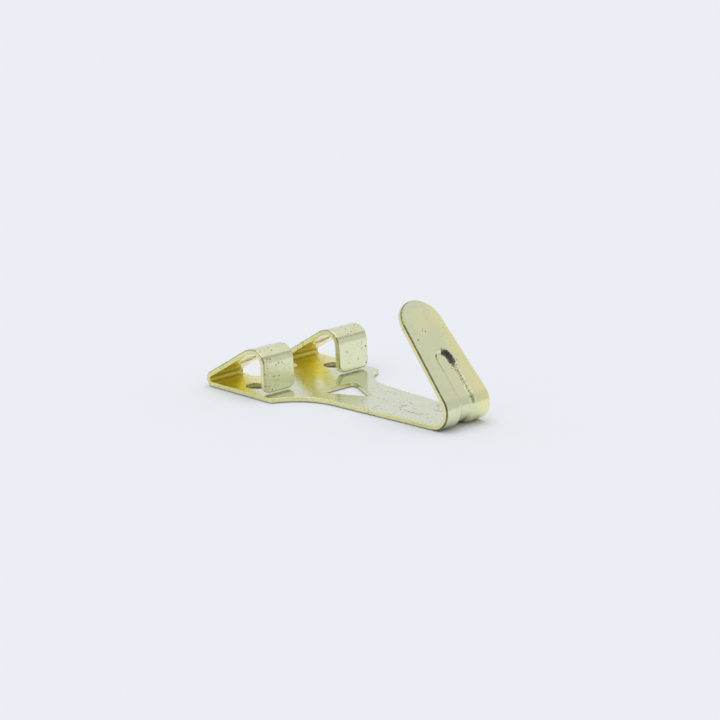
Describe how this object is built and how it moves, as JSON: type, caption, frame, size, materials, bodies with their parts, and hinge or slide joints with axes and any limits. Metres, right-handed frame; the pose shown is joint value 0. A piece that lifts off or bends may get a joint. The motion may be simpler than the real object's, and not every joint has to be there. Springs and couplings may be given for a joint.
{
  "type": "picture hook",
  "caption": "Brass-plated steel picture hook for paired nails: a back plate with folded nail guide loops at the head and a grooved, round-tipped hook arm bent up from its shank.",
  "frame": {"origin": "middle of the bounding rectangle of the face that lies against the wall", "axes": "+X from the nail folds to the hook's bend, which hangs lowest on the wall; +Y to the right seen from the room; +Z out of the wall into the room"},
  "size_m": [0.0492, 0.026, 0.0193],
  "materials": {
    "brass_plating": "bright, pale yellow electro-brassed steel with fine handling marks"
  },
  "bodies": {
    "root": {"back_plate": "brass_plating", "hook_bend": "brass_plating", "hook_arm": "brass_plating", "left_nail_fold": "brass_plating", "left_nail_ramp": "brass_plating", "left_nail_crest": "brass_plating", "left_nail_leg": "brass_plating", "right_nail_fold": "brass_plating", "right_nail_ramp": "brass_plating", "right_nail_crest": "brass_plating", "right_nail_leg": "brass_plating"}
  },
  "joints": []
}
